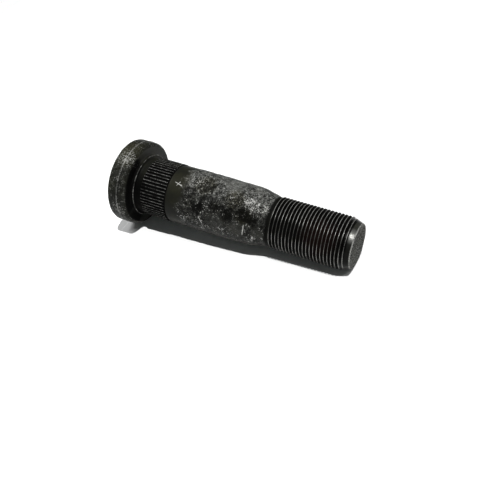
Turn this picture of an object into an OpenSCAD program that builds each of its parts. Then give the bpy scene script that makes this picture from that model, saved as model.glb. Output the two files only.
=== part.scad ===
// Wheel bolt of the press-in kind for a heavy vehicle's hub, forged and turned in one piece.
// It stands on the outer face of its head: z = 0 is that face and +Z runs along the axis to the tip.
// The thread is fine and is left off here: its stretch is a cylinder of the thread's full diameter.

/* [Head] */
// Diameter of the head's rim
head_d = 37.4; // [36:0.2:42]
// Thickness of the head, from its outer face to its seat
head_h = 9; // [8:0.5:12]
// Rounding of the rim at the outer face
head_back_r = 1.3; // [0.6:0.1:2]
// Rounding of the rim at the seat
head_seat_r = 1.8; // [0.6:0.1:2.4]
// Height of the forging's trimming line above the outer face
trim_z = 5.2; // [4:0.1:5.5]
// How far the trimming line stands out of the rim
trim_out = 0.16; // [0.04:0.04:0.4]

/* [Collar and neck] */
// Diameter of the low collar on the seat
collar_d = 27.4; // [27:0.1:28.4]
// Height of the collar above the seat
collar_h = 1.4; // [0.8:0.1:1.8]
// Rounding of the collar's edge
collar_edge_r = 0.3; // [0.1:0.05:0.35]
// Fillet between the collar and the seat
collar_root_r = 0.4; // [0.2:0.05:0.45]
// Diameter of the plain neck between the collar and the knurl
neck_d = 24.7; // [24:0.1:24.8]
// Fillet between the collar and the neck
neck_root_r = 0.5; // [0.2:0.1:0.7]

/* [Knurl] */
// Number of straight teeth round the bolt
teeth = 56; // [40:1:64]
// Diameter over the teeth
knurl_d = 25.9; // [25.6:0.1:26.6]
// Depth of a tooth
tooth_depth = 0.5; // [0.3:0.05:0.5]
// Height of the knurl's start above the seat
knurl_start = 3.8; // [3:0.1:4.5]
// Length of the knurl, with its bevelled ends
knurl_len = 13.4; // [8:0.2:18]
// Share of the pitch that the bottom of a gap takes
gap_share = 0.14; // [0.06:0.02:0.3]
// Share of the pitch that the top of a tooth takes
land_share = 0.42; // [0.3:0.02:0.5]

/* [Shank] */
// Diameter of the plain shank
shank_d = 25.4; // [25:0.1:25.5]
// Height above the seat at which the plain shank starts to narrow
shank_plain_end = 37.5; // [26:0.5:45]
// Diameter of the shank where the taper starts
shank_end_d = 24.7; // [24:0.1:24.9]
// Height above the seat at which the taper starts
taper_start = 55; // [48:0.5:58]
// Length of the taper
taper_len = 8; // [5:0.5:12]

/* [Thread] */
// Full diameter of the thread
thread_d = 22; // [21.6:0.1:22.4]
// Diameter of the short neck behind the thread
relief_d = 21.2; // [20:0.1:21.4]
// Length of the short neck behind the thread
relief_len = 1.2; // [0.5:0.1:3]
// Length of the bolt from its seat to its tip
seat_to_tip = 99.5; // [85:0.5:120]
// Diameter of the tip's flat face, before its edge is rounded
tip_d = 18.5; // [16:0.1:19]
// Angle between the tip's bevel and the axis
tip_angle = 20; // [15:1:45]
// Rounding of the edge of the tip's face
tip_edge_r = 0.4; // [0.1:0.1:0.8]

/* [Hidden] */
$fn = 128;
lap = 0.3;
head_r = head_d / 2;
trim_half = 0.8;
collar_r = collar_d / 2;
neck_r = neck_d / 2;
knurl_r = knurl_d / 2;
gap_r = knurl_r - tooth_depth;
knurl_z0 = head_h + knurl_start;
knurl_z1 = knurl_z0 + knurl_len;
knurl_bevel = 0.8;
knurl_over = 0.15;
gap_run_out = 0.7;
shank_r = shank_d / 2;
shank_plain_z = head_h + shank_plain_end;
shank_end_r = shank_end_d / 2;
taper_z0 = head_h + taper_start;
taper_z1 = taper_z0 + taper_len;
relief_r = relief_d / 2;
thread_r = thread_d / 2;
thread_z0 = taper_z1 + relief_len;
thread_lead_in = thread_r - relief_r;
bolt_len = head_h + seat_to_tip;
tip_r = tip_d / 2;
tip_bevel_z = bolt_len - (thread_r - tip_r) / tan(tip_angle);
tip_arc_r = tip_r - tip_edge_r * (1 - sin(tip_angle)) / cos(tip_angle);
tip_tangent = [tip_arc_r + tip_edge_r * cos(tip_angle), bolt_len - tip_edge_r * (1 - sin(tip_angle))];

// Half section of a disc between two heights, with a rounded edge at each end
module rounded_disc_section(rad, z0, z1, low_r, high_r) {
    translate([0, z0]) square([rad - low_r, low_r]);
    translate([0, z0 + low_r]) square([rad, z1 - z0 - low_r - high_r]);
    translate([0, z1 - high_r]) square([rad - high_r, high_r]);
    translate([rad - low_r, z0 + low_r]) circle(low_r);
    translate([rad - high_r, z1 - high_r]) circle(high_r);
}

// Half section of the hollow fillet in the corner where a face meets the wall above it
module inner_fillet_section(wall_r, face_z, fillet_r) {
    difference() {
        translate([wall_r - lap, face_z - lap]) square(fillet_r + lap);
        translate([wall_r + fillet_r, face_z + fillet_r]) circle(fillet_r);
    }
}

// Head: a rounded disc with the blunt ridge that the forging dies leave round its rim
module head_section() {
    rounded_disc_section(head_r, 0, head_h, head_back_r, head_seat_r);
    polygon([
        [head_r - lap, trim_z - trim_half],
        [head_r, trim_z - trim_half],
        [head_r + trim_out, trim_z],
        [head_r, trim_z + trim_half],
        [head_r - lap, trim_z + trim_half]
    ]);
}

// Low collar on the seat, with its fillets down to the seat and in to the neck
module collar_section() {
    translate([0, head_h - lap]) square([collar_r, lap + collar_h - collar_edge_r]);
    translate([0, head_h]) square([collar_r - collar_edge_r, collar_h]);
    translate([collar_r - collar_edge_r, head_h + collar_h - collar_edge_r]) circle(collar_edge_r);
    inner_fillet_section(collar_r, head_h, collar_root_r);
    inner_fillet_section(neck_r, head_h + collar_h, neck_root_r);
}

// Neck, core of the knurl, shank, taper, thread cylinder and bevelled tip
module shaft_section() {
    polygon([
        [0, head_h - lap],
        [neck_r, head_h - lap],
        [neck_r, knurl_z1 - gap_run_out],
        [shank_r, knurl_z1],
        [shank_r, shank_plain_z],
        [shank_end_r, taper_z0],
        [relief_r, taper_z1],
        [relief_r, thread_z0],
        [thread_r, thread_z0 + thread_lead_in],
        [thread_r, tip_bevel_z],
        tip_tangent,
        [tip_arc_r, bolt_len - tip_edge_r],
        [tip_arc_r, bolt_len],
        [0, bolt_len]
    ]);
    translate([tip_arc_r, bolt_len - tip_edge_r]) circle(tip_edge_r);
}

// Cross section of the knurl: four corners to a tooth, a little taller than the finished teeth
function tooth_corners(middle) =
    let (
        pitch = 360 / teeth,
        flank = (1 - gap_share - land_share) / 2 * knurl_over / tooth_depth,
        foot = pitch * (1 - gap_share) / 2,
        top = pitch * (land_share / 2 - flank),
        top_r = knurl_r + knurl_over
    )
    [
        gap_r * [cos(middle - foot), sin(middle - foot)],
        top_r * [cos(middle - top), sin(middle - top)],
        top_r * [cos(middle + top), sin(middle + top)],
        gap_r * [cos(middle + foot), sin(middle + foot)]
    ];

// Knurl: straight teeth cut down to a cylinder, with every tooth bevelled at both ends
module knurl() {
    intersection() {
        translate([0, 0, knurl_z0 - lap])
            linear_extrude(knurl_len + 2 * lap)
                polygon([for (i = [0 : teeth - 1]) each tooth_corners(i * 360 / teeth)]);
        rotate_extrude()
            polygon([
                [0, knurl_z0],
                [neck_r - lap, knurl_z0],
                [knurl_r, knurl_z0 + knurl_bevel],
                [knurl_r, knurl_z1 - knurl_bevel],
                [neck_r - lap, knurl_z1],
                [0, knurl_z1]
            ]);
    }
}

module bolt() {
    color("dimgray") {
        rotate_extrude() {
            head_section();
            collar_section();
            shaft_section();
        }
        knurl();
    }
}

bolt();
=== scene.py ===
"""Wheel bolt: the steel bolt as one closed mesh with its thread, knurl and wear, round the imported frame."""

import functools
import logging
import math
from collections.abc import Sequence
from dataclasses import dataclass
from enum import Enum

import bmesh
import bpy
from bmesh.types import BMEdge, BMesh, BMVert
from bpy.types import ID, Material, Mesh, Node, NodeSocket, NodeTree, Object
from mathutils import Matrix, Quaternion, Vector, noise


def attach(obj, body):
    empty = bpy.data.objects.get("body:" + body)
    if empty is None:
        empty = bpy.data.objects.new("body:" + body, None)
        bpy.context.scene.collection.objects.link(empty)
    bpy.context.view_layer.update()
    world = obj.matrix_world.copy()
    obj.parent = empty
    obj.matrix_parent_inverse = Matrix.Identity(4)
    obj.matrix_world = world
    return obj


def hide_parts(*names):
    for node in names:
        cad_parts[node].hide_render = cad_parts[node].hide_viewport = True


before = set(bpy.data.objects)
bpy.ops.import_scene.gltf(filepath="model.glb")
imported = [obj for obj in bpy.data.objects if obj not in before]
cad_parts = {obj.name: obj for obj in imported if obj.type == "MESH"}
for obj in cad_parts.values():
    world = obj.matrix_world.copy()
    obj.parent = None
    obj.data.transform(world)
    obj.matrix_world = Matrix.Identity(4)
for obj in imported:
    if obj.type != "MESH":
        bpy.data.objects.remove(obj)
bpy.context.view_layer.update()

MM = 0.001
AXIS = Vector((0.0, 0.0, 1.0))
CENTRE = Vector((0.0, 0.0, 0.0))
WELD = 0.004
# Numbers of the colour mixing node's sockets
COLOUR_A = 6
COLOUR_B = 7
MIXED_COLOUR = 2
BODY = "root"
NODE = "bolt"

Pair = tuple[float, float]
Triple = tuple[float, float, float]
Colour = tuple[float, float, float, float]

log = logging.getLogger("wheel_bolt")


def ramp(value: float, low: float, high: float) -> float:
    """Smooth step of a value, from 0 at low to 1 at high."""
    share = min(1.0, max(0.0, (value - low) / (high - low)))
    return share * share * (3.0 - 2.0 * share)


def on_wall(azimuth: float, height: float, radius: float) -> Vector:
    """Point on a round wall, with its azimuth in degrees from +X towards +Y and the rest in millimetres."""
    turn = math.radians(azimuth)
    return Vector((radius * math.cos(turn), radius * math.sin(turn), height))


def pour(part: BMesh, bm: BMesh) -> None:
    """Adds one mesh to another and frees it.

    Args:
        part: Mesh that is added.
        bm: Mesh that grows.
    """
    made = bpy.data.meshes.new("part")
    part.to_mesh(made)
    part.free()
    bm.from_mesh(made)
    bpy.data.meshes.remove(made)


def weld(bm: BMesh, reach: float = WELD) -> None:
    """Joins points of a mesh that lie closer together than a reach in millimetres."""
    bmesh.ops.remove_doubles(bm, verts=bm.verts[:], dist=reach)


def move_out(vert: BMVert, reach: float, wanted: float) -> None:
    """Moves a point from one distance from the axis to another."""
    vert.co.x *= wanted / reach
    vert.co.y *= wanted / reach


def spin(bm: BMesh, geom: list, angle: float, steps: int, rise: float = 0.0, **options: bool) -> list:
    """Spins lines, or repeats faces, round the axis.

    Args:
        bm: Mesh that grows.
        geom: Its points, edges and faces to spin.
        angle: Whole turn, in radians.
        steps: Number of steps.
        rise: Way up along the axis with each step, in millimetres.
        options: Whether to repeat faces or to merge the ends.

    Returns:
        What the last step made.
    """
    round_axis = {"cent": CENTRE, "axis": AXIS, "dvec": AXIS * rise}
    return bmesh.ops.spin(bm, geom=geom, angle=angle, steps=steps, **round_axis, **options)["geom_last"]


@dataclass(frozen=True)
class Corner:
    """One corner of a turned outline, in millimetres.

    Attributes:
        radius: Distance from the axis.
        height: Height above the head's outer face.
        tangent: Length that the rounding takes from each side, or 0 for a sharp corner.
        steps: Number of flats in the rounding.
    """

    radius: float
    height: float
    tangent: float = 0.0
    steps: int = 3


@dataclass(frozen=True)
class Outline:
    """A stretch of turned outline, drawn as a wire that is ready to spin.

    Attributes:
        corners: Corners in order.
        grain: Longest step along the wire, in millimetres.
    """

    corners: tuple[Corner, ...]
    grain: float

    def draw(self, bm: BMesh) -> None:
        """Draws, rounds and divides the wire.

        Args:
            bm: Mesh that the wire is added to.
        """
        wire = bmesh.new()
        verts = [wire.verts.new((corner.radius, 0.0, corner.height)) for corner in self.corners]
        for pair in zip(verts, verts[1:]):
            wire.edges.new(pair)
        for vert, corner in zip(verts, self.corners):
            if corner.tangent:
                bmesh.ops.bevel(
                    wire,
                    geom=[vert],
                    offset=corner.tangent,
                    offset_type="OFFSET",
                    segments=corner.steps,
                    profile=0.5,
                    affect="VERTICES",
                    material=-1,
                )
        by_cuts: dict[int, list[BMEdge]] = {}
        for edge in wire.edges:
            by_cuts.setdefault(math.ceil(edge.calc_length() / self.grain - 1e-6) - 1, []).append(edge)
        for cuts, edges in by_cuts.items():
            if cuts > 0:
                bmesh.ops.subdivide_edges(wire, edges=edges, cuts=cuts)
        pour(wire, bm)


@dataclass(frozen=True)
class Head:
    """Forged head with its worn trimming ridge, and the low collar and neck on its seat."""

    radius: float = 18.7
    thickness: float = 9.0
    back_round: float = 1.3
    seat_round: float = 1.8
    ridge_height: float = 5.2
    ridge_out: float = 0.16
    ridge_half: float = 0.8
    collar_radius: float = 13.7
    collar_height: float = 1.4
    collar_round: float = 0.3
    collar_fillet: float = 0.4
    neck_radius: float = 12.35
    neck_fillet: float = 0.5
    face_grain: float = 1.5
    rim_grain: float = 0.5
    collar_grain: float = 0.42

    def outlines(self, knurl_start: float) -> list[Outline]:
        """Outlines from the middle of the outer face to the knurl.

        Args:
            knurl_start: Height at which the knurl starts, in millimetres.

        Returns:
            The stretches of outline, in order.
        """
        flat = self.radius - self.seat_round - self.back_round
        collar_top = self.thickness + self.collar_height
        face = Outline((Corner(0.0, 0.0), Corner(flat, 0.0)), self.face_grain)
        rim = Outline(
            (
                Corner(flat, 0.0),
                Corner(self.radius, 0.0, self.back_round, 5),
                Corner(self.radius, self.ridge_height - self.ridge_half),
                Corner(self.radius + self.ridge_out, self.ridge_height),
                Corner(self.radius, self.ridge_height + self.ridge_half),
                Corner(self.radius, self.thickness, self.seat_round, 5),
                Corner(flat, self.thickness),
            ),
            self.rim_grain,
        )
        collar = Outline(
            (
                Corner(flat, self.thickness),
                Corner(self.collar_radius, self.thickness, self.collar_fillet),
                Corner(self.collar_radius, collar_top, self.collar_round),
                Corner(self.neck_radius, collar_top, self.neck_fillet),
                Corner(self.neck_radius, knurl_start),
            ),
            self.collar_grain,
        )
        return [face, rim, collar]


@dataclass(frozen=True)
class Knurl:
    """Straight teeth round the bolt, bevelled at both ends, with gaps that run out in the shank."""

    teeth: int = 56
    radius: float = 12.95
    depth: float = 0.5
    start: float = 12.8
    length: float = 13.4
    bevel: float = 0.8
    bevel_foot: float = 12.05
    run_out: float = 0.7
    run_out_rings: tuple[float, ...] = (0.3, 0.43, 1.0)
    gap_share: float = 0.14
    land_share: float = 0.42
    grain: float = 0.9

    @property
    def end(self) -> float:
        """Height at which the knurl ends."""
        return self.start + self.length

    @property
    def pitch(self) -> float:
        """Turn from one tooth to the next, in radians."""
        return math.tau / self.teeth

    def spans(self) -> tuple[float, ...]:
        """Turns of a flank, a land, a flank and a gap, in radians."""
        flank = (1.0 - self.gap_share - self.land_share) / 2.0
        return tuple(self.pitch * share for share in (flank, self.land_share, flank, self.gap_share))

    def outline(self, neck_radius: float, shank_radius: float) -> Outline:
        """Outline of the knurl's core, with a ring wherever a tooth or a gap changes slope.

        Args:
            neck_radius: Radius below the knurl, in millimetres.
            shank_radius: Radius above the knurl, in millimetres.

        Returns:
            The stretch of outline.
        """
        slope = (self.radius - self.bevel_foot) / self.bevel
        foot = self.start + (neck_radius - self.bevel_foot) / slope
        gap_foot = self.start + (self.radius - self.depth - self.bevel_foot) / slope
        heights = (foot, gap_foot, self.start + self.bevel, self.end - self.bevel)
        out = self.end - self.run_out
        rise = shank_radius - neck_radius
        low = (Corner(neck_radius, height) for height in (self.start, *heights, out))
        rings = self.run_out_rings
        ends = (Corner(neck_radius + rise * share, out + self.run_out * share) for share in rings)
        return Outline((*low, *ends), self.grain)

    def radius_at(self, height: float, phase: float, core: float) -> float:
        """Radius of the finished surface on one line of a tooth.

        Args:
            height: Height above the head's outer face, in millimetres.
            phase: Turn from the middle of the nearest tooth, as a share of the pitch.
            core: Radius of the plain core there, in millimetres.

        Returns:
            The radius, in millimetres.
        """
        if not self.start < height < self.end:
            return core
        top = self.radius if abs(phase) < self.land_share / 2.0 + 0.01 else self.radius - self.depth
        inwards = min(height - self.start, self.end - height) / self.bevel
        return max(core, min(top, self.bevel_foot + (self.radius - self.bevel_foot) * inwards))


@dataclass(frozen=True)
class Shank:
    """Plain shank that narrows a little, the short taper and the neck behind the thread."""

    radius: float = 12.7
    plain_end: float = 46.5
    end_radius: float = 12.35
    taper_start: float = 64.0
    taper_end: float = 72.0
    neck_radius: float = 10.6
    neck_end: float = 72.4
    shoulder: float = 1.6
    grain: float = 0.5

    def outline(self, start: float) -> Outline:
        """Outline from the knurl to the neck behind the thread.

        Args:
            start: Height at which the knurl ends, in millimetres.

        Returns:
            The stretch of outline.
        """
        return Outline(
            (
                Corner(self.radius, start),
                Corner(self.radius, self.plain_end),
                Corner(self.end_radius, self.taper_start, self.shoulder, 4),
                Corner(self.neck_radius, self.taper_end),
                Corner(self.neck_radius, self.neck_end),
            ),
            self.grain,
        )


@dataclass(frozen=True)
class Thread:
    """Rolled right-hand thread, with its run-out at the shank and the bevel that cuts its last crests."""

    radius: float = 11.0
    root_radius: float = 10.08
    pitch: float = 1.5
    start: float = 72.65
    full_depth_at: float = 74.7
    lead_in: float = 73.2
    neck_radius: float = 10.6
    bevel_start: float = 103.69
    bevel_slope: float = 0.36397
    end: float = 106.5
    crest_half: float = 0.094
    root_half: float = 0.125
    crest_round: float = 0.045
    root_round: float = 0.1
    grain: float = 0.36
    weld: float = 0.02
    steps: int = 112
    phase: float = -0.42

    @property
    def below(self) -> float:
        """Height of a root on the +X side, a little below the thread."""
        return self.start - 2.0 * self.pitch + self.phase

    def envelope(self, height: float) -> float:
        """Largest radius at a height, in millimetres, which the bevel and the lead-in lessen."""
        bevelled = self.radius - max(0.0, height - self.bevel_start) * self.bevel_slope
        return min(bevelled, self.neck_radius + max(0.0, height - self.lead_in))

    def floor(self, height: float) -> float:
        """Smallest radius at a height, in millimetres, which rises where the thread runs out."""
        depth = self.neck_radius - self.root_radius
        return self.neck_radius - depth * ramp(height, self.lead_in, self.full_depth_at)

    def build(self, bm: BMesh) -> tuple[list[BMEdge], list[BMEdge]]:
        """Repeats one pitch of the profile up a line, spins the line by one pitch and cuts it to length.

        Args:
            bm: Mesh that the thread is added to.

        Returns:
            The edges of its lower ring and of its upper ring.
        """
        half = self.pitch / 2.0
        profile = Outline(
            (
                Corner(self.root_radius, 0.0),
                Corner(self.root_radius, self.root_half, self.root_round, 2),
                Corner(self.radius, half - self.crest_half, self.crest_round, 1),
                Corner(self.radius, half + self.crest_half, self.crest_round, 1),
                Corner(self.root_radius, self.pitch - self.root_half, self.root_round, 2),
                Corner(self.root_radius, self.pitch),
            ),
            self.grain,
        )
        part = bmesh.new()
        profile.draw(part)
        bmesh.ops.translate(part, verts=part.verts[:], vec=(0.0, 0.0, self.below))
        copies = math.ceil((self.end - self.below) / self.pitch)
        spin(part, part.verts[:] + part.edges[:], 0.0, copies, self.pitch, use_duplicate=True)
        weld(part)
        spin(part, part.verts[:] + part.edges[:], math.tau, self.steps, self.pitch / self.steps)
        weld(part, self.weld)
        for height, low in ((self.start, True), (self.end, False)):
            bmesh.ops.bisect_plane(
                part,
                geom=part.verts[:] + part.edges[:] + part.faces[:],
                dist=WELD,
                plane_co=(0.0, 0.0, height),
                plane_no=AXIS,
                clear_inner=low,
                clear_outer=not low,
            )
        for vert in part.verts:
            reach = math.hypot(vert.co.x, vert.co.y)
            height = vert.co.z
            move_out(vert, reach, min(max(reach, self.floor(height)), self.envelope(height)))
        return add_part(bm, part)


@dataclass(frozen=True)
class Tip:
    """Smooth end of the bevel and the rough end face."""

    start: float = 106.6
    end: float = 108.5
    face_radius: float = 9.25
    edge_tangent: float = 0.28
    dish: float = 0.12
    grain: float = 0.55
    steps: int = 112

    def build(self, bm: BMesh, start_radius: float) -> list[BMEdge]:
        """Spins the bevel and the end face.

        Args:
            bm: Mesh that the tip is added to.
            start_radius: Radius of the bevel where the thread ends, in millimetres.

        Returns:
            The edges of its lower ring.
        """
        outline = Outline(
            (
                Corner(start_radius, self.start),
                Corner(self.face_radius, self.end, self.edge_tangent, 3),
                Corner(0.0, self.end - self.dish),
            ),
            self.grain,
        )
        part = bmesh.new()
        outline.draw(part)
        spin(part, part.verts[:] + part.edges[:], math.tau, self.steps, use_merge=True)
        weld(part)
        return add_part(bm, part)[0]


def add_part(bm: BMesh, part: BMesh) -> tuple[list[BMEdge], list[BMEdge]]:
    """Adds a part to the bolt and finds the ends at which it is open.

    Args:
        bm: Mesh that grows.
        part: Mesh that is added.

    Returns:
        The added part's open edges: its lowest ring and any upper ring.
    """
    before = len(bm.edges)
    pour(part, bm)
    bm.edges.ensure_lookup_table()
    rims = [edge for edge in bm.edges[before:] if edge.is_boundary]
    above_lowest = min(edge.verts[0].co.z for edge in rims) + 2.5 * WELD
    low = [edge for edge in rims if edge.verts[0].co.z < above_lowest]
    high = [edge for edge in rims if edge.verts[0].co.z >= above_lowest]
    return low, high


@dataclass(frozen=True)
class Dent:
    """Shallow hollow in the surface, in millimetres.

    Attributes:
        azimuth: Turn from +X towards +Y, in degrees.
        height: Height above the head's outer face.
        radius: Distance of the surface from the axis.
        size: Reach round the bolt and along it.
        depth: Depth in the middle.
    """

    azimuth: float
    height: float
    radius: float
    size: Pair
    depth: float

    def sink(self, point: Vector) -> float:
        """Depth of the hollow at a point.

        Args:
            point: Place on the surface, in millimetres.

        Returns:
            Depth in millimetres, 0 outside the hollow.
        """
        along = (point.z - self.height) / self.size[1]
        if abs(along) > 1.0:
            return 0.0
        turn = math.atan2(point.y, point.x) - math.radians(self.azimuth)
        around = math.remainder(turn, math.tau) * self.radius / self.size[0]
        reach = math.hypot(along, around)
        return self.depth * (1.0 - ramp(reach, 0.25, 1.0)) if reach < 1.0 else 0.0


@dataclass(frozen=True)
class Relief:
    """Forged and worn relief of the steel's surface, which moves the mesh along its normals."""

    dents: tuple[Dent, ...] = (
        Dent(182.0, 40.7, 12.7, (5.0, 1.5), 0.17),
        Dent(186.0, 44.7, 12.7, (4.0, 1.3), 0.12),
        Dent(180.0, 53.3, 12.6, (6.0, 3.6), 0.1),
        Dent(190.0, 60.5, 12.4, (5.0, 2.4), 0.07),
        Dent(285.0, 42.1, 12.7, (3.4, 3.0), 0.3),
        Dent(276.0, 47.9, 12.7, (1.6, 1.6), 0.3),
        Dent(281.0, 56.1, 12.5, (3.0, 3.4), 0.26),
        Dent(273.0, 61.5, 12.4, (1.6, 3.6), 0.28),
        Dent(246.0, 43.5, 12.7, (3.0, 3.6), 0.18),
        Dent(302.0, 63.6, 12.4, (1.6, 0.5), 0.25),
        Dent(316.0, 43.4, 12.7, (0.5, 1.0), 0.2),
        Dent(95.0, 38.5, 12.7, (3.0, 2.4), 0.25),
        Dent(60.0, 50.5, 12.6, (2.4, 4.0), 0.3),
        Dent(130.0, 57.5, 12.5, (3.4, 2.0), 0.25),
        Dent(30.0, 62.0, 12.4, (2.0, 2.6), 0.2),
    )
    proud: float = 0.12
    shank_depth: float = 0.16
    shank_grain: float = 2.6
    pit_depth: float = 0.16
    pit_grain: float = 1.5
    rim_depth: float = 0.07
    face_depth: float = 0.05
    shank_span: Pair = (26.2, 72.4)
    rough_from: Pair = (30.5, 35.0)
    smooth_from: Pair = (69.5, 72.1)
    back_end: float = 0.2
    rim_end: float = 9.5
    rim_reach: float = 17.0
    ridge_height: float = Head.ridge_height
    ridge_depth: float = 0.12
    collar_end: float = 10.9
    collar_depth: float = 0.03
    tip_start: float = 108.1

    def shank_lift(self, point: Vector) -> float:
        """Height of the shank's grain, pits and dents at a point.

        Args:
            point: Place on the smooth shank, in millimetres.

        Returns:
            Height above the smooth shank, in millimetres.
        """
        share = ramp(point.z, *self.rough_from) * (1.0 - ramp(point.z, *self.smooth_from))
        if share == 0.0:
            return 0.0
        wander = noise.fractal(point / self.shank_grain, 0.9, 2.1, 4)
        patch = ramp(noise.noise(point / 7.0 + Vector((3.1, 8.7, 1.9))), -0.25, 0.35)
        nearest = noise.voronoi(point / self.pit_grain)[0][0]
        pit = (1.0 - ramp(nearest, 0.1, 0.55)) * self.pit_depth * (0.25 + 0.75 * patch)
        sunk = min(1.0, share * 2.0) * sum(dent.sink(point) for dent in self.dents)
        return share * (self.proud + self.shank_depth * wander * (0.4 + 0.6 * patch) - pit) - sunk

    def lift(self, point: Vector) -> float:
        """Height of the relief at a point.

        Args:
            point: Place on the smooth surface, in millimetres.

        Returns:
            Height above the smooth surface, in millimetres.
        """
        height = point.z
        reach = math.hypot(point.x, point.y)
        if self.shank_span[0] < height < self.shank_span[1]:
            return self.shank_lift(point)
        if height < self.rim_end and reach > self.rim_reach:
            coarse = noise.fractal(point / 2.2, 0.8, 2.2, 4) * self.rim_depth
            ridge = 1.0 - ramp(abs(height - self.ridge_height), 0.1, 0.9)
            return coarse + ridge * self.ridge_depth * noise.noise(point / 3.0)
        if height < self.back_end:
            return self.face_depth * min(0.0, noise.fractal(point / 3.0, 0.9, 2.0, 3))
        if height > self.tip_start:
            return self.face_depth * noise.fractal(point / 0.9, 0.8, 2.0, 3)
        if height < self.collar_end:
            return self.collar_depth * noise.noise(point / 1.6)
        return 0.0


@dataclass(frozen=True)
class WheelBolt:
    """The whole bolt, joined into one closed mesh."""

    head: Head = Head()
    knurl: Knurl = Knurl()
    shank: Shank = Shank()
    thread: Thread = Thread()
    tip: Tip = Tip()
    relief: Relief = Relief()
    crease: float = 40.0

    def body(self, bm: BMesh) -> list[BMEdge]:
        """Spins one tooth's slice of head, knurl and shank, and repeats it round the axis.

        Args:
            bm: Mesh that the body is added to.

        Returns:
            The edges of its open upper ring.
        """
        part = bmesh.new()
        for outline in (
            *self.head.outlines(self.knurl.start),
            self.knurl.outline(self.head.neck_radius, self.shank.radius),
            self.shank.outline(self.knurl.end),
        ):
            outline.draw(part)
        weld(part)
        first = -self.knurl.pitch * (1.0 - self.knurl.gap_share) / 2.0
        bmesh.ops.rotate(part, verts=part.verts[:], cent=CENTRE, matrix=Matrix.Rotation(first, 3, "Z"))
        line = part.verts[:] + part.edges[:]
        for span in self.knurl.spans():
            line = spin(part, line, span, 1)
        weld(part)
        for vert in part.verts:
            self.shape_tooth(vert)
        tooth = part.verts[:] + part.edges[:] + part.faces[:]
        spin(part, tooth, math.tau - self.knurl.pitch, self.knurl.teeth - 1, use_duplicate=True)
        weld(part)
        return add_part(bm, part)[0]

    def shape_tooth(self, vert: BMVert) -> None:
        """Moves a point of the slice out to the surface of its tooth or gap.

        Args:
            vert: The point.
        """
        reach = math.hypot(vert.co.x, vert.co.y)
        if reach > WELD:
            phase = math.atan2(vert.co.y, vert.co.x) / self.knurl.pitch
            move_out(vert, reach, self.knurl.radius_at(vert.co.z, phase, reach))

    def mesh(self) -> Mesh:
        """Builds the closed mesh in metres.

        Returns:
            The finished mesh.
        """
        bm = bmesh.new()
        body_top = self.body(bm)
        thread_low, thread_high = self.thread.build(bm)
        tip_low = self.tip.build(bm, self.thread.envelope(self.tip.start))
        bmesh.ops.bridge_loops(bm, edges=body_top + thread_low)
        bmesh.ops.bridge_loops(bm, edges=thread_high + tip_low)
        bmesh.ops.recalc_face_normals(bm, faces=bm.faces[:])
        bm.normal_update()
        lifts = [(vert, self.relief.lift(vert.co) * vert.normal) for vert in bm.verts]
        for vert, lift in lifts:
            vert.co += lift
        for face in bm.faces:
            face.smooth = True
        open_edges = sum(1 for edge in bm.edges if not edge.is_manifold)
        log.info("bolt mesh: %d faces, %d open or doubled edges", len(bm.faces), open_edges)
        bmesh.ops.scale(bm, vec=(MM, MM, MM), verts=bm.verts[:])
        made = bpy.data.meshes.new("bolt_steel")
        bm.to_mesh(made)
        bm.free()
        made.set_sharp_from_angle(angle=math.radians(self.crease))
        return made

    def build(self, finish: Material) -> Object:
        """Makes the bolt's object, in place of the plain solid.

        Args:
            finish: Material of the steel.

        Returns:
            The finished piece.
        """
        piece = bpy.data.objects.new("bolt_steel", self.mesh())
        bpy.context.scene.collection.objects.link(piece)
        piece.data.materials.append(finish)
        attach(piece, BODY)
        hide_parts(NODE)
        return piece


class Signal:
    """A shader value that Python operators work on. Each operator adds one Math node."""

    def __init__(self, graph: "Graph", socket: NodeSocket) -> None:
        """Wraps an output of one of the graph's nodes."""
        self.graph = graph
        self.socket = socket

    def math(self, operation: str, *values: "Signal | float") -> "Signal":
        """Adds a Math node of an operation on values, and gives its result."""
        node = self.graph.add("ShaderNodeMath", {"operation": operation}, dict(enumerate(values)))
        return Signal(self.graph, node.outputs[0])

    def __add__(self, other: "Signal | float") -> "Signal":
        """Sum."""
        return self.math("ADD", self, other)

    def __radd__(self, other: float) -> "Signal":
        """Sum with a number on the left."""
        return self.math("ADD", other, self)

    def __sub__(self, other: "Signal | float") -> "Signal":
        """Difference."""
        return self.math("SUBTRACT", self, other)

    def __rsub__(self, other: float) -> "Signal":
        """Difference from a number on the left."""
        return self.math("SUBTRACT", other, self)

    def __mul__(self, other: "Signal | float") -> "Signal":
        """Product."""
        return self.math("MULTIPLY", self, other)

    def __rmul__(self, other: float) -> "Signal":
        """Product with a number on the left."""
        return self.math("MULTIPLY", other, self)

    def __truediv__(self, other: "Signal | float") -> "Signal":
        """Quotient."""
        return self.math("DIVIDE", self, other)

    def __pow__(self, other: float) -> "Signal":
        """Power."""
        return self.math("POWER", self, other)

    def __abs__(self) -> "Signal":
        """Absolute value."""
        return self.math("ABSOLUTE", self)

    def larger(self, other: "Signal") -> "Signal":
        """Larger of two values."""
        return self.math("MAXIMUM", self, other)

    def smaller(self, other: "Signal | float") -> "Signal":
        """Smaller of two values."""
        return self.math("MINIMUM", self, other)

    def off_middle(self) -> "Signal":
        """Distance from the middle between two whole numbers, from 0 to 0.5."""
        return abs(self.math("FRACT", self) - 0.5)

    def step(self, low: float, high: float) -> "Signal":
        """Smooth step.

        Args:
            low: Value at which the step starts.
            high: Value at which it ends, which may be the smaller of the two.

        Returns:
            0 before low, 1 after high, and smooth between them.
        """
        rising = low < high
        sockets = {
            "Value": self,
            "From Min": min(low, high),
            "From Max": max(low, high),
            "To Min": 0.0 if rising else 1.0,
            "To Max": 1.0 if rising else 0.0,
        }
        node = self.graph.add("ShaderNodeMapRange", {"interpolation_type": "SMOOTHSTEP"}, sockets)
        return Signal(self.graph, node.outputs[0])


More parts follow.
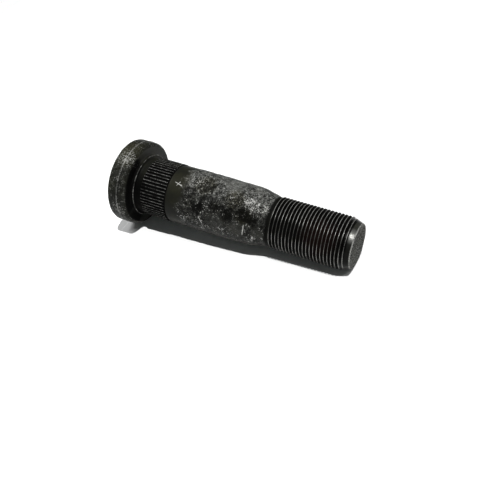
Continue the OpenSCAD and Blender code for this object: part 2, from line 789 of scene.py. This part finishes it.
Value = Signal | NodeSocket | float | tuple[float, ...]


def strongest(*masks: Signal) -> Signal:
    """Largest of several masks."""
    return functools.reduce(Signal.larger, masks)


class Graph:
    """Node tree of a material or world, with one method that makes any node."""

    def __init__(self, tree: NodeTree) -> None:
        """Empties the tree, ready to fill."""
        self.tree = tree
        tree.nodes.clear()

    def add(self, kind: str, settings: dict[str, object], sockets: dict[str | int, Value]) -> Node:
        """Adds a node.

        Args:
            kind: Type of node.
            settings: Its properties, which are set first.
            sockets: Values or links of its inputs, by name or number.

        Returns:
            The new node.
        """
        node = self.tree.nodes.new(kind)
        for name, setting in settings.items():
            setattr(node, name, setting)
        for name, value in sockets.items():
            target = node.inputs[name]
            if isinstance(value, Signal):
                self.tree.links.new(value.socket, target)
            elif isinstance(value, NodeSocket):
                self.tree.links.new(value, target)
            else:
                target.default_value = value
        return node

    def vector(self, operation: str, first: Value, second: Value, out: int = 0) -> Signal:
        """Adds a Vector Math node, whose output 0 is a vector and output 1 a number."""
        node = self.add("ShaderNodeVectorMath", {"operation": operation}, {0: first, 1: second})
        return Signal(self, node.outputs[out])

    def blend(self, share: Value, first: Value, second: Value) -> Signal:
        """Mixes two colours, from the first at a share of 0 to the second at 1."""
        colours = {"Factor": share, COLOUR_A: first, COLOUR_B: second}
        return Signal(self, self.add("ShaderNodeMix", {"data_type": "RGBA"}, colours).outputs[MIXED_COLOUR])

    def speckle(self, place: Signal, waves: float, layers: float, finest: float) -> Signal:
        """Noise round 0.5, by its waves to a millimetre, and the finer layers' number and strength."""
        sockets = {"Vector": place, "Scale": waves, "Detail": layers, "Roughness": finest}
        return Signal(self, self.add("ShaderNodeTexNoise", {"noise_dimensions": "3D"}, sockets).outputs[0])

    def rays(self, *kinds: str) -> Signal:
        """Mask that is 1 for rays of the kinds, which are outputs of the Light Path node."""
        node = self.add("ShaderNodeLightPath", {}, {})
        return strongest(*(Signal(self, node.outputs[kind]) for kind in kinds))


class Patch(Enum):
    """Kinds of patch on the steel."""

    BRIGHT = "bright"
    DARK = "dark"
    SMOOTH = "smooth"
    OLIVE = "olive"
    # Painted shade on the seat and collar.
    PAINTED_SHADE = "soot_and_shade"
    # Painted highlight on the bevel.
    GLINT = "glint"
    RUST = "rust"


@dataclass(frozen=True)
class Spot:
    """A place on the steel that is worn or dirty, or where shade or a highlight is painted, in degrees and
    millimetres.
    """

    kind: Patch
    azimuth: float
    height: float
    radius: float
    reach: float
    strength: float = 1.0


@dataclass(frozen=True)
class Scratch:
    """A thin bright scratch between two places on the steel, given as azimuth and height."""

    start: Pair
    end: Pair
    radius: float
    width: float


class Surface:
    """Places, noises, zones and patches on the steel, and the patterns that are made of them."""

    def __init__(self, graph: Graph, steel: "BlackSteel") -> None:
        """Adds the nodes of all patterns.

        Args:
            graph: Graph of the material.
            steel: Finish that gives the spots, the scratches and the parts' measures.
        """
        self.graph = graph
        self.steel = steel
        here = graph.add("ShaderNodeTexCoord", {}, {}).outputs["Object"]
        self.place = graph.vector("MULTIPLY", here, (1.0 / MM, 1.0 / MM, 1.0 / MM))
        parts = graph.add("ShaderNodeSeparateXYZ", {}, {0: self.place})
        self.across, self.deep, self.height = (Signal(graph, socket) for socket in parts.outputs)
        self.reach = (self.across * self.across + self.deep * self.deep) ** 0.5
        self.turn = self.deep.math("ARCTAN2", self.deep, self.across) * (1.0 / math.tau)

        elsewhere = graph.vector("ADD", self.place, steel.elsewhere)
        self.salt = graph.speckle(self.place, waves=1.8, layers=2.0, finest=0.7)
        self.pepper = graph.speckle(elsewhere, waves=1.7, layers=2.0, finest=0.7)
        self.fine = graph.speckle(self.place, waves=3.2, layers=2.0, finest=0.6)
        self.grain = graph.speckle(self.place, waves=0.5, layers=4.0, finest=0.62)
        self.cloud = graph.speckle(elsewhere, waves=0.16, layers=3.0, finest=0.55)
        self.sway = self.grain - 0.5

        on_head = self.height.step(9.3, 9.1)
        self.shank = (self.height + self.sway * 9.0).step(31.0, 34.5) * self.height.step(72.5, 71.5)
        self.thread = self.band(73.4, 74.1, 106.2, 106.6)
        self.rim = self.reach.step(17.0, 17.9) * on_head
        self.face = self.height.step(108.05, 108.2)
        self.back = self.height.step(0.25, 0.05)
        self.seat = self.height.step(8.6, 8.8) * on_head * self.reach.step(17.3, 16.9)
        self.knurl = self.band(13.0, 13.5, 25.7, 26.2)
        self.neck = self.band(71.5, 72.2, 73.3, 73.7)
        self.bevel = self.height.step(103.4, 103.9) * (1.0 - self.face)
        self.under = self.towards(steel.under_azimuth).step(2.0, 10.0)

        self.bright = self.patches(Patch.BRIGHT)
        self.dark = self.patches(Patch.DARK)
        self.golden = self.patches(Patch.OLIVE)
        # Painted shade on the seat and collar.
        self.painted_shade_spots = self.patches(Patch.PAINTED_SHADE, 0.55)
        self.rusted = self.patches(Patch.RUST)
        self.rough = self.shank * (1.0 - self.patches(Patch.SMOOTH) * 0.9)
        # Painted highlight: brighter metal on the bevel.
        self.glint = self.patches(Patch.GLINT, 0.33) * self.height.step(106.0, 106.5) * (1.0 - self.face)

        self.hazy, self.peppered, self.dotted, self.salted = self.shank_marks()
        self.crest_wear, self.valley = self.thread_marks()
        self.rim_pepper = (self.pepper + self.bright * 0.05 - self.sway * 0.4).step(0.56, 0.61) * self.rim
        self.wear = self.all_wear_and_sheen()

    def band(self, start: float, full: float, last: float, end: float) -> Signal:
        """Stretch of heights with soft ends: it is full between the two middle values."""
        return self.height.step(start, full) * self.height.step(end, last)

    def towards(self, azimuth: float) -> Signal:
        """Distance of a point from the axis towards an azimuth, in millimetres."""
        turn = math.radians(azimuth)
        return self.across * math.cos(turn) + self.deep * math.sin(turn)

    def patches(self, kind: Patch, fray: float = 1.1) -> Signal:
        """Adds up the spots of one kind.

        Args:
            kind: Kind of spot to add up.
            fray: How far the grain frays the spots' edges.

        Returns:
            A mask from 0 to 1.
        """
        masks = []
        for spot in self.steel.spots:
            if spot.kind is kind:
                middle = tuple(on_wall(spot.azimuth, spot.height, spot.radius))
                gap = self.graph.vector("DISTANCE", self.place, middle, 1)
                masks.append((gap / spot.reach + self.sway * fray).step(1.15, 0.35) * spot.strength)
        return strongest(*masks)

    def scratched(self, scratch: Scratch) -> Signal:
        """Draws a scratch.

        Args:
            scratch: The scratch.

        Returns:
            A mask from 0 to 1.
        """
        first = on_wall(*scratch.start, scratch.radius)
        last = on_wall(*scratch.end, scratch.radius)
        middle = (first + last) / 2.0
        half = (last - first).length / 2.0
        along = (last - first).normalized()
        outwards = Vector((middle.x, middle.y, 0.0)).normalized()
        offset = self.graph.vector("SUBTRACT", self.place, tuple(middle))
        length, side, out = (
            self.graph.vector("DOT_PRODUCT", offset, tuple(way), 1)
            for way in (along, outwards.cross(along), outwards)
        )
        line = (abs(side) + (self.fine - 0.5) * 0.12).step(scratch.width * 1.6, scratch.width * 0.6)
        return line * abs(length).step(half * 1.05, half * 0.8) * out.step(-3.0, -2.0)

    def shank_marks(self) -> tuple[Signal, Signal, Signal, Signal]:
        """Draws the shank's flecks.

        Returns:
            Masks of the haze, which is cut on the under side as painted shade, the black flecks, the fine
            black dots and the bright flecks.
        """
        hazy = ((self.cloud + self.grain) * 0.5 - self.dark * 0.15 + self.bright * 0.08).step(0.30, 0.54)
        broken = self.salt.step(0.42, 0.60) + self.fine.step(0.40, 0.60)
        # Painted shade: less haze on the side turned down.
        hazy = hazy * self.shank * (1.0 - self.under * 0.78) * (0.3 + 0.4 * broken)
        peppered = self.pepper + self.golden * 0.1 + self.dark * 0.13 - self.sway * 0.4
        peppered = peppered.step(0.515, 0.55) * self.rough
        dotted = self.fine + self.golden * 0.06 + self.dark * 0.08 - self.sway * 0.5
        dotted = dotted.step(0.56, 0.60) * self.rough
        salted = self.salt + self.bright * 0.17 + self.sway * 0.5 - self.dark * 0.02
        salted = salted.step(0.645, 0.685) * (self.rough + self.bright).smaller(1.0)
        return hazy, peppered, dotted, salted * (1.0 - peppered.larger(dotted) * 0.85)

    def thread_marks(self) -> tuple[Signal, Signal]:
        """Draws the thread's worn crests, painted brighter on the under side as a reflection and duller on
        one side as shade, and its black valleys.

        Returns:
            Masks of the crests, with their painted light, and of the valleys.
        """
        thread = self.steel.thread
        pitches = (self.height - thread.below) * (1.0 / thread.pitch) - self.turn
        off_crest = pitches.off_middle() + self.under * 0.02
        # Painted shade: crests duller on one side, less so towards the tip.
        crest_shade = (self.towards(self.steel.crest_shade_azimuth) / self.reach).step(0.93, 0.985)
        crest_shade = crest_shade * (1.0 - self.height.step(84.0, 104.0) * 0.5)
        worn = (self.fine * 0.6 + self.grain * 0.9).step(0.55, 0.95) * 0.65 + 0.2
        # Painted reflection: crests twice as bright on the under side.
        crest = off_crest.step(0.08, 0.02) * self.thread * (1.0 - crest_shade * 0.7) * (1.0 + self.under) * worn
        return crest, off_crest.step(0.04, 0.09) * self.thread

    def all_wear_and_sheen(self) -> Signal:
        """Draws the bare metal of all parts, with painted reflection and shade on the thread's crests.

        Returns:
            A mask from 0 to 1.
        """
        rim_salt = (self.salt + self.bright * 0.13 + self.sway * 0.4).step(0.60, 0.69) * self.rim
        off_tooth = (self.turn * self.steel.knurl.teeth + 0.5).off_middle()
        teeth = off_tooth.step(0.09, 0.015) * self.reach.step(12.85, 12.93) * self.knurl
        off_ridge = abs(self.height - self.steel.head.ridge_height) + self.sway * 1.2
        ridge = off_ridge.step(0.42, 0.08) * self.rim
        collar = self.reach.step(13.45, 13.62) * self.band(10.05, 10.25, 10.45, 10.6)
        tip_edge = self.height.step(108.0, 108.15) * self.reach.step(8.9, 9.1)
        return strongest(
            self.salted * 0.9,
            self.crest_wear,
            rim_salt * (1.0 - self.rim_pepper) * 0.31,
            teeth * (self.fine * 0.8 + self.grain * 0.5).step(0.56, 0.80) * 0.7,
            ridge * ((self.fine + self.grain) * 0.5 + self.bright * 0.1).step(0.44, 0.60) * 0.55,
            collar * (self.grain * 0.9 + self.salt * 0.5).step(0.55, 0.95) * 0.6,
            tip_edge * (self.fine + self.grain * 0.6).step(0.60, 0.95) * 0.7,
            self.face * (self.salt * 0.7 + self.fine * 0.5).step(0.57, 0.68) * 0.36,
            *(self.scratched(scratch) for scratch in self.steel.scratches),
        )

    def shade_and_grime(self) -> Signal:
        """Draws the dark marks: painted shade on the seat and on the bevel's under side, the knurl dirty and
        in painted shade that is lighter on its upper side, the neck groove darker, and black flecks on the
        rim.

        Returns:
            A mask from 0 to 1.
        """
        upper = (self.towards(self.steel.upper_azimuth) / self.reach).step(0.86, 0.98)
        # The knurl, dirty and in painted shade, lighter on the side turned up.
        gaps = self.knurl * (0.95 - upper * 0.4)
        # Painted shade on the seat and collar.
        soot_and_shade = self.painted_shade_spots * (1.0 - self.rim)
        # Painted shade on the bevel's under side.
        shade = self.bevel * self.under * 0.85
        return strongest(soot_and_shade, gaps, self.neck * 0.85, shade, self.rim_pepper * 0.6)

    def relief(self) -> Signal:
        """Makes the finest grain, which is too small for the mesh.

        Returns:
            Its height, in millimetres.
        """
        cells = {"Vector": self.place, "Scale": 1.05}
        pits = self.graph.add("ShaderNodeTexVoronoi", {"feature": "F1"}, cells).outputs[0]
        pitting = Signal(self.graph, pits).step(0.05, 0.42) - 1.0
        salt = self.salt - 0.5
        swell = self.sway * 0.22 + salt * 0.12 - self.peppered * 0.05
        shank = (swell + pitting * 0.06 * (0.35 + self.dark)) * self.rough
        return shank + salt * 0.05 * self.rim + (self.fine - 0.5) * 0.015 + salt * 0.28 * self.face


@dataclass(frozen=True)
class BlackSteel:
    """Black oxide over forged steel, worn to grey metal on edges and mottled on the shank.

    Attributes:
        under_azimuth: Side that is turned down in the picture, in degrees, where painted shade cuts the haze
            and darkens the bevel, and the crests are painted brighter as a reflection.
        upper_azimuth: Side that is turned up in the picture, where the knurl's painted shade is lighter.
        crest_shade_azimuth: Side on which the thread's crests are painted duller, as shade.
        elsewhere: Shift of the noises that must not follow the others, in millimetres.
    """

    coat: Colour = (0.0100, 0.0104, 0.0086, 1.0)
    # Black of the flecks, pits and valleys, also used for painted shade.
    soot_and_shade: Colour = (0.0012, 0.0012, 0.0011, 1.0)
    haze: Colour = (0.200, 0.202, 0.190, 1.0)
    metal: Colour = (0.50, 0.50, 0.475, 1.0)
    rust: Colour = (0.0105, 0.0042, 0.0032, 1.0)
    olive: Colour = (0.023, 0.0225, 0.0125, 1.0)
    sand: Colour = (0.190, 0.177, 0.111, 1.0)
    roughness: float = 0.44
    gloss: float = 0.05
    under_azimuth: float = 320.0
    upper_azimuth: float = 200.0
    crest_shade_azimuth: float = 278.0
    elsewhere: Triple = (31.0, 17.0, 53.0)
    head: Head = Head()
    knurl: Knurl = Knurl()
    thread: Thread = Thread()
    spots: tuple[Spot, ...] = (
        Spot(Patch.BRIGHT, 251.0, 64.1, 12.3, 4.2),
        Spot(Patch.BRIGHT, 248.0, 68.8, 11.3, 3.2, 0.8),
        Spot(Patch.BRIGHT, 240.0, 41.0, 12.7, 4.6, 0.6),
        Spot(Patch.BRIGHT, 245.5, 55.6, 12.5, 4.5, 0.45),
        Spot(Patch.BRIGHT, 322.0, 35.3, 12.7, 2.4, 0.5),
        Spot(Patch.BRIGHT, 323.0, 66.3, 11.8, 3.0, 0.4),
        Spot(Patch.BRIGHT, 325.0, 44.0, 12.7, 3.4, 0.5),
        Spot(Patch.BRIGHT, 322.0, 54.0, 12.6, 4.0, 0.4),
        Spot(Patch.BRIGHT, 253.4, 31.7, 12.7, 0.8, 0.9),
        Spot(Patch.BRIGHT, 243.0, 5.6, 18.7, 6.0, 0.55),
        Spot(Patch.BRIGHT, 318.0, 5.0, 18.7, 4.0, 0.5),
        Spot(Patch.DARK, 286.0, 41.6, 12.7, 3.6),
        Spot(Patch.DARK, 278.5, 48.5, 12.7, 2.6, 0.9),
        Spot(Patch.DARK, 284.0, 55.6, 12.5, 3.6, 0.9),
        Spot(Patch.DARK, 272.0, 62.3, 12.4, 3.4),
        Spot(Patch.DARK, 282.0, 66.0, 11.8, 2.6, 0.8),
        Spot(Patch.DARK, 243.0, 43.5, 12.7, 2.6, 0.8),
        Spot(Patch.SMOOTH, 217.0, 54.0, 12.6, 6.0, 0.9),
        Spot(Patch.SMOOTH, 306.0, 51.0, 12.6, 4.5, 0.9),
        Spot(Patch.SMOOTH, 306.0, 60.5, 12.4, 4.5, 0.9),
        Spot(Patch.SMOOTH, 309.0, 69.0, 11.0, 3.0, 0.9),
        Spot(Patch.OLIVE, 240.0, 42.0, 12.7, 5.5, 0.9),
        Spot(Patch.OLIVE, 277.0, 63.0, 12.3, 4.5, 0.9),
        Spot(Patch.OLIVE, 252.0, 57.3, 12.5, 5.0, 0.8),
        Spot(Patch.OLIVE, 250.0, 29.0, 12.7, 7.0, 0.6),
        Spot(Patch.OLIVE, 236.0, 4.0, 18.7, 9.0, 0.9),
        # Painted shade on the seat and collar.
        Spot(Patch.PAINTED_SHADE, 244.0, 9.0, 15.2, 3.6),
        Spot(Patch.PAINTED_SHADE, 262.0, 9.0, 15.3, 5.5),
        Spot(Patch.PAINTED_SHADE, 290.0, 10.0, 15.0, 12.0),
        Spot(Patch.PAINTED_SHADE, 315.0, 9.5, 15.5, 9.0),
        Spot(Patch.PAINTED_SHADE, 350.0, 9.5, 15.2, 9.0),
        # Painted highlight on the bevel.
        Spot(Patch.GLINT, 250.0, 107.2, 9.9, 3.4),
        Spot(Patch.RUST, 275.0, 95.0, 11.0, 9.0, 0.8),
    )
    scratches: tuple[Scratch, ...] = (
        Scratch((293.0, 63.6), (317.2, 63.1), 12.35, 0.13),
        Scratch((302.0, 42.6), (318.2, 44.3), 12.7, 0.12),
        Scratch((250.9, 28.4), (255.6, 32.4), 12.7, 0.1),
        Scratch((257.6, 29.7), (247.6, 30.8), 12.7, 0.09),
    )

    def colour(self, on: Surface, shade_and_grime: Signal) -> Signal:
        """Lays the colours over each other, from the oxide up to the bare metal.

        Args:
            on: Surface that the colours lie on.
            shade_and_grime: Mask of the painted shade and the black flecks.

        Returns:
            The colour.
        """
        # Grey haze; on the shank it is cut on the under side as painted shade.
        haze = (on.cloud + on.grain) * 0.5 + on.bright * 0.12
        haze = strongest(on.hazy * 0.9, haze.step(0.42, 0.68) * on.rim * 0.07, on.back * 0.2)
        # On the bevel and the seat, grey that stands for painted sheen; on the face, grey lighter towards +X.
        film_and_sheen = strongest(on.face * on.across.step(-9.0, 9.0) * 0.05, on.bevel * 0.065, on.seat * 0.085)
        blotch = ((1.0 - on.grain) + on.dark * 0.22 - on.bright * 0.1).step(0.68, 0.80) * on.rough
        colour = self.coat
        for share, over in (
            ((on.golden * 0.8).larger(on.cloud.step(0.4, 0.7) * 0.4), self.olive),
            (haze, on.graph.blend(on.golden * 0.7, self.haze, self.sand)),
            (film_and_sheen, self.haze),
            (strongest(on.peppered * 0.9, blotch * 0.4, on.dotted * 0.8, on.valley * 0.95), self.soot_and_shade),
            # Painted shade on the seat, knurl and bevel, the darker neck groove and black flecks on the rim.
            (shade_and_grime, self.soot_and_shade),
            (on.rusted * on.valley * 0.6, self.rust),
            # Bare metal, with painted reflection and shade on the thread's crests.
            (on.wear, self.metal),
            # Painted highlight on the bevel.
            (on.glint * 0.34, self.metal),
        ):
            colour = on.graph.blend(share, colour, over)
        return colour

    def build(self) -> Material:
        """Makes the material.

        Returns:
            The finished material.
        """
        material = bpy.data.materials.new("black_steel")
        material.use_nodes = True
        graph = Graph(material.node_tree)
        on = Surface(graph, self)
        shade_and_grime = on.shade_and_grime()
        # Rougher where the painted shade, the rim's flecks and the thread's valleys are.
        rough_where_dark = shade_and_grime.larger(on.valley) * (1.0 - on.bevel) * 0.35
        duller = (on.salt - 0.5) * 0.2 + on.hazy * 0.16 + on.face * 0.5 - on.bevel * 0.14 + rough_where_dark
        relief = {"Strength": 1.0, "Distance": MM, "Height": on.relief()}
        sockets = {
            "Base Color": self.colour(on, shade_and_grime),
            "Roughness": self.roughness + duller,
            "Metallic": strongest(on.wear * 0.35, on.glint, on.crest_wear * on.under * 2.4),
            "Normal": graph.add("ShaderNodeBump", {}, relief).outputs["Normal"],
            "Specular IOR Level": self.gloss,
        }
        shader = graph.add("ShaderNodeBsdfPrincipled", {}, sockets)
        graph.add("ShaderNodeOutputMaterial", {}, {"Surface": shader.outputs[0]})
        return material


def add_turned(name: str, data: ID, turn: Quaternion) -> Object:
    """Adds a lamp or a camera to the scene.

    Args:
        name: Name of the object.
        data: Its data.
        turn: Its turn.

    Returns:
        The object.
    """
    made = bpy.data.objects.new(name, data)
    made.rotation_mode = "QUATERNION"
    made.rotation_quaternion = turn
    bpy.context.scene.collection.objects.link(made)
    return made


@dataclass(frozen=True)
class Lamp:
    """A distant lamp.

    Attributes:
        name: Name of the lamp.
        towards: Direction from the bolt to the lamp.
        strength: Light on a surface that faces it.
        size: Angle that the lamp fills, in degrees.
    """

    name: str
    towards: Triple
    strength: float
    size: float

    def build(self) -> None:
        """Makes the lamp."""
        data = bpy.data.lights.new(self.name, "SUN")
        data.energy = self.strength
        data.angle = math.radians(self.size)
        add_turned(self.name, data, Vector(self.towards).to_track_quat("Z", "Y"))


@dataclass(frozen=True)
class StripLamp:
    """A long narrow lamp whose length runs with the bolt's axis.

    Attributes:
        name: Name of the lamp.
        towards: Direction from the bolt to the lamp's middle.
        distance: Distance from the bolt, in metres.
        width: Narrow side, in metres.
        length: Long side, in metres.
        power: Power of the lamp, in watts.
    """

    name: str
    towards: Triple
    distance: float
    width: float
    length: float
    power: float

    def build(self) -> None:
        """Makes the lamp."""
        data = bpy.data.lights.new(self.name, "AREA")
        data.shape = "RECTANGLE"
        data.size = self.width
        data.size_y = self.length
        data.energy = self.power
        back = Vector(self.towards).normalized()
        across = AXIS.cross(back).normalized()
        turn = Matrix((across, back.cross(across), back)).transposed()
        lamp = add_turned(self.name, data, turn.to_quaternion())
        lamp.location = back * self.distance
        lamp.visible_camera = False


@dataclass(frozen=True)
class Studio:
    """White boards, lamps and camera of the picture."""

    pure: Colour = (1.0, 1.0, 1.0, 1.0)
    paper: Colour = (0.96, 0.96, 0.96, 1.0)
    floor_half: float = 3.0
    floor_drop: float = 0.00005
    floor_glow: float = 0.9
    aim_height: float = 0.05
    card_half: float = 0.30
    card_gap: float = 0.01936
    card_up: Triple = (-0.694, -0.7154, -0.0805)
    lamps: tuple[Lamp, ...] = (
        Lamp("key", (-0.5358, -0.8328, 0.1394), 3.1, 0.35),
        Lamp("glint", (-0.573, -0.705, 0.418), 0.33, 8.0),
    )
    strip: StripLamp = StripLamp("strip", (-0.537, -0.546, -0.643), 0.115, 0.012, 0.07, 0.075)
    world_fill: float = 0.099
    world_tint: Colour = (0.93, 1.0, 0.98, 1.0)
    lens: float = 51.10
    sensor: float = 36.0
    camera_place: Triple = (0.0, -0.26769, 0.16704)
    camera_right: Triple = (-0.28562, 0.36794, 0.8849)
    camera_up: Triple = (-0.95749, -0.07072, -0.27965)
    camera_back: Triple = (-0.04032, -0.92716, 0.3725)

    def board(self, name: str, half: float, turn: Matrix, glow: float) -> Object:
        """Makes one white board, which is seen from its front only.

        Args:
            name: Name of the board.
            half: Half of its side, in metres.
            turn: Place and turn of the board.
            glow: Light that the board adds to itself in the picture.

        Returns:
            The board.
        """
        bm = bmesh.new()
        bmesh.ops.create_grid(bm, x_segments=1, y_segments=1, size=half, matrix=turn)
        made = bpy.data.meshes.new(name)
        bm.to_mesh(made)
        bm.free()
        board = bpy.data.objects.new(name, made)
        bpy.context.scene.collection.objects.link(board)
        made.materials.append(self.white(name, glow))
        return board

    def white(self, name: str, glow: float) -> Material:
        """White card that lets the camera see through its back.

        Args:
            name: Name of the material.
            glow: Light that it adds to itself for camera and gloss.

        Returns:
            The material.
        """
        material = bpy.data.materials.new(name)
        material.use_nodes = True
        graph = Graph(material.node_tree)
        paper = graph.add("ShaderNodeBsdfDiffuse", {}, {"Color": self.paper})
        seen = graph.rays("Is Camera Ray", "Is Glossy Ray", "Is Transmission Ray")
        light = graph.add("ShaderNodeEmission", {}, {"Color": self.pure, "Strength": seen * glow})
        both = graph.add("ShaderNodeAddShader", {}, {0: paper.outputs[0], 1: light.outputs[0]})
        clear = graph.add("ShaderNodeBsdfTransparent", {}, {})
        back = graph.add("ShaderNodeNewGeometry", {}, {}).outputs["Backfacing"]
        mix = graph.add("ShaderNodeMixShader", {}, {0: back, 1: both.outputs[0], 2: clear.outputs[0]})
        graph.add("ShaderNodeOutputMaterial", {}, {"Surface": mix.outputs[0]})
        return material

    def build(self) -> None:
        """Makes the boards, the lamps, the world and the camera."""
        up = Vector(self.card_up).normalized()
        away = -Vector((up.x, up.y, 0.0)).normalized()
        floor_turn = Matrix.Rotation(math.atan2(away.y, away.x), 4, "Z")
        floor_middle = Matrix.Translation(away * (self.floor_half + self.card_gap) - AXIS * self.floor_drop)
        floor = self.board("studio_floor", self.floor_half, floor_middle @ floor_turn, self.floor_glow)
        floor.visible_shadow = False
        floor.visible_diffuse = False
        floor.visible_glossy = False
        floor.visible_transmission = False
        turn = up.to_track_quat("Z", "Y").to_matrix().to_4x4()
        middle = Matrix.Translation(AXIS * self.aim_height - up * (self.card_gap + up.z * self.aim_height))
        self.board("studio_card", self.card_half, middle @ turn, 0.0)
        for lamp in self.lamps:
            lamp.build()
        self.strip.build()
        self.world()
        self.camera()

    def world(self) -> None:
        """Makes the soft surround, which is white where the camera sees it."""
        world = bpy.data.worlds.new("studio")
        bpy.context.scene.world = world
        world.use_nodes = True
        graph = Graph(world.node_tree)
        heading = graph.add("ShaderNodeTexCoord", {}, {}).outputs["Generated"]
        rise = graph.vector("DOT_PRODUCT", heading, self.card_up, 1)
        below = graph.rays("Is Glossy Ray") * rise.step(-0.08, -0.12)
        white = graph.rays("Is Camera Ray", "Is Transmission Ray").larger(below)
        strength = self.world_fill + (1.0 - self.world_fill) * white
        colour = graph.blend(white, self.world_tint, self.pure)
        light = graph.add("ShaderNodeBackground", {}, {"Color": colour, "Strength": strength})
        graph.add("ShaderNodeOutputWorld", {}, {"Surface": light.outputs[0]})

    def camera(self) -> None:
        """Makes the camera, turned so that the bolt lies as in the photo."""
        data = bpy.data.cameras.new("camera")
        data.lens = self.lens
        data.sensor_width = self.sensor
        data.clip_start = 0.01
        data.clip_end = 20.0
        turn = Matrix((self.camera_right, self.camera_up, self.camera_back)).transposed()
        camera = add_turned("camera", data, turn.to_quaternion())
        camera.location = self.camera_place
        bpy.context.scene.camera = camera


def main() -> None:
    """Builds the studio and the bolt, and reports each piece."""
    logging.basicConfig(level=logging.INFO, format="%(name)s: %(message)s")
    bpy.context.scene.view_settings.view_transform = "Standard"
    Studio().build()
    log.info("studio: two boards, key, glint and strip lamp, surround and camera")
    piece = WheelBolt().build(BlackSteel().build())
    piece.data.calc_loop_triangles()
    log.info("%s: %d triangles", piece.name, len(piece.data.loop_triangles))


if __name__ == "__main__":
    main()
